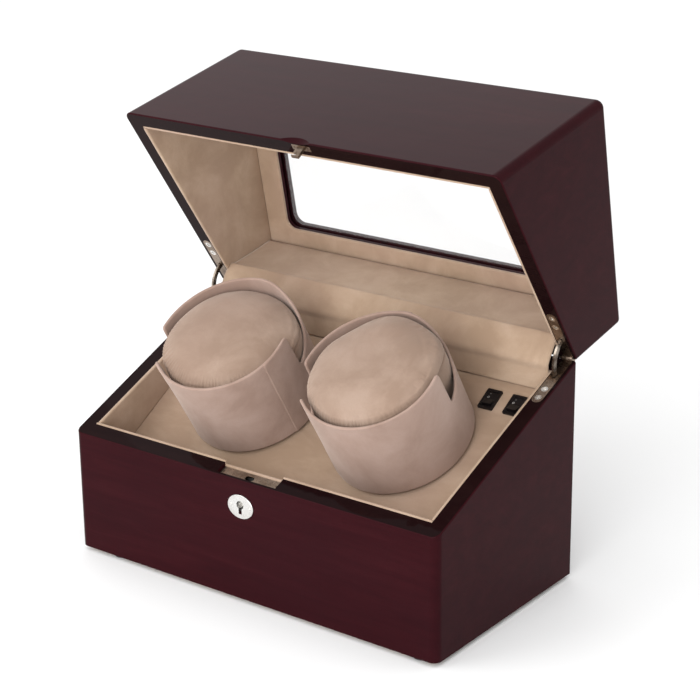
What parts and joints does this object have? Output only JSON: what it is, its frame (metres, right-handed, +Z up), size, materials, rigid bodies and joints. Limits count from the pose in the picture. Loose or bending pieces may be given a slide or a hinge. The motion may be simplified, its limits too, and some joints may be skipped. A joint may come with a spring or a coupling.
{
  "type": "watch winder box",
  "caption": "Dark lacquered watch winder box, wedge-split with a glazed hinged lid, open on suede-lined turning cups that each hold a removable cushion.",
  "frame": {"origin": "middle of the open box's footprint, on the surface the feet stand on", "axes": "+X to the right seen from the front, +Y to the back, +Z up"},
  "size_m": [0.32, 0.2316, 0.3431],
  "materials": {
    "lacquered_wood": "high-gloss dark mahogany lacquer",
    "suede": "soft pinkish-beige suede",
    "window_glass": "clear polished glass",
    "hinge_metal": "satin nickelled brass",
    "silver_metal": "polished silver-coloured metal",
    "steel": "plain zinc-plated steel",
    "black_plastic": "glossy black moulded plastic",
    "white_plastic": "natural nylon",
    "wire_jacket": "soft black wire jacket",
    "black_rubber": "matt black rubber",
    "raw_board": "plain unfinished board",
    "circuit_board": "green solder mask"
  },
  "bodies": {
    "base": {"base_shell": "lacquered_wood", "bottom_panel": "raw_board", "bottom_screws": "steel", "feet": "black_rubber", "deck": "suede", "deck_cleat_left": "raw_board", "deck_cleat_right": "raw_board", "base_liner_front": "suede", "base_liner_rear": "suede", "base_liner_left": "suede", "base_liner_right": "suede", "escutcheon": "silver_metal", "escutcheon_pins": "silver_metal", "lock_case": "steel", "lock_plate": "hinge_metal", "lock_plate_screws": "hinge_metal", "hinge_base_leaf_left": "hinge_metal", "hinge_base_leaf_right": "hinge_metal", "hinge_pins": "hinge_metal", "hinge_base_screws": "hinge_metal", "hinge_flap": "suede", "motor_left": "steel", "motor_right": "steel", "motor_bracket_left": "steel", "motor_bracket_right": "steel", "motor_screws": "steel", "switch_bezel_left": "black_plastic", "switch_bezel_right": "black_plastic", "control_board": "circuit_board", "board_standoffs": "white_plastic", "dc_inlet": "black_plastic", "dc_inlet_nut": "steel", "motor_leads": "wire_jacket", "switch_leads": "wire_jacket", "power_lead": "wire_jacket"},
    "lid": {"lid_shell": "lacquered_wood", "window_glass": "window_glass", "window_bead": "lacquered_wood", "lid_window_liner": "suede", "lid_liner_front": "suede", "lid_liner_rear": "suede", "lid_liner_left": "suede", "lid_liner_right": "suede", "hinge_lid_leaf_left": "hinge_metal", "hinge_lid_leaf_right": "hinge_metal", "hinge_lid_screws": "hinge_metal", "lid_hook": "hinge_metal", "lid_hook_screws": "hinge_metal"},
    "stay_left": {"hinge_stay_left": "hinge_metal"},
    "stay_right": {"hinge_stay_right": "hinge_metal"},
    "cup_left": {"cup_left": "suede", "spindle_left": "white_plastic"},
    "cushion_left": {"cushion_left": "suede"},
    "cup_right": {"cup_right": "suede", "spindle_right": "white_plastic"},
    "cushion_right": {"cushion_right": "suede"},
    "rocker_left": {"switch_rocker_left": "black_plastic"},
    "rocker_right": {"switch_rocker_right": "black_plastic"},
    "key_core": {"key_core": "silver_metal"},
    "lock_bolt": {"lock_bolt": "hinge_metal"}
  },
  "joints": [
    {"name": "lid_hinge", "type": "hinge", "parent": "base", "child": "lid", "pos_m": [0, 0.05579, 0.16518], "axis": [1, 0, 0], "range_deg": [0, 78.7], "deforming": ["hinge_flap"]},
    {"name": "stay_left_turn", "type": "hinge", "parent": "base", "child": "stay_left", "pos_m": [-0.1531, 0.05579, 0.16518], "axis": [1, 0, 0], "range_deg": [0, 39.35]},
    {"name": "stay_right_turn", "type": "hinge", "parent": "base", "child": "stay_right", "pos_m": [0.1531, 0.05579, 0.16518], "axis": [1, 0, 0], "range_deg": [0, 39.35]},
    {"name": "cup_left_turn", "type": "hinge", "parent": "base", "child": "cup_left", "pos_m": [-0.0647, -0.01798, 0.11162], "axis": [0, -0.515, 0.8572], "continuous": true},
    {"name": "cushion_left_lift", "type": "slide", "parent": "cup_left", "child": "cushion_left", "axis": [0, 0.515, -0.8572], "range_m": [-0.07, 0]},
    {"name": "cup_right_turn", "type": "hinge", "parent": "base", "child": "cup_right", "pos_m": [0.0647, -0.01798, 0.11162], "axis": [0, -0.515, 0.8572], "continuous": true},
    {"name": "cushion_right_lift", "type": "slide", "parent": "cup_right", "child": "cushion_right", "axis": [0, 0.515, -0.8572], "range_m": [-0.07, 0]},
    {"name": "rocker_left_tilt", "type": "hinge", "parent": "base", "child": "rocker_left", "pos_m": [0.1091, 0.02506, 0.13445], "axis": [1, 0, 0], "range_deg": [0, 18]},
    {"name": "rocker_right_tilt", "type": "hinge", "parent": "base", "child": "rocker_right", "pos_m": [0.1297, 0.02506, 0.13445], "axis": [1, 0, 0], "range_deg": [0, 18]},
    {"name": "key_turn", "type": "hinge", "parent": "base", "child": "key_core", "pos_m": [-0.0033, -0.11413, 0.0745], "axis": [0, 1, 0], "range_deg": [0, 90]},
    {"name": "bolt_slide", "type": "slide", "parent": "base", "child": "lock_bolt", "axis": [1, 0, 0], "range_m": [0, 0.0036]}
  ],
  "couplings": [
    {"joint": "stay_left_turn", "follows": "lid_hinge", "ratio": 0.5},
    {"joint": "stay_right_turn", "follows": "lid_hinge", "ratio": 0.5},
    {"joint": "bolt_slide", "follows": "key_turn", "m_per_rad": 0.0022918}
  ]
}
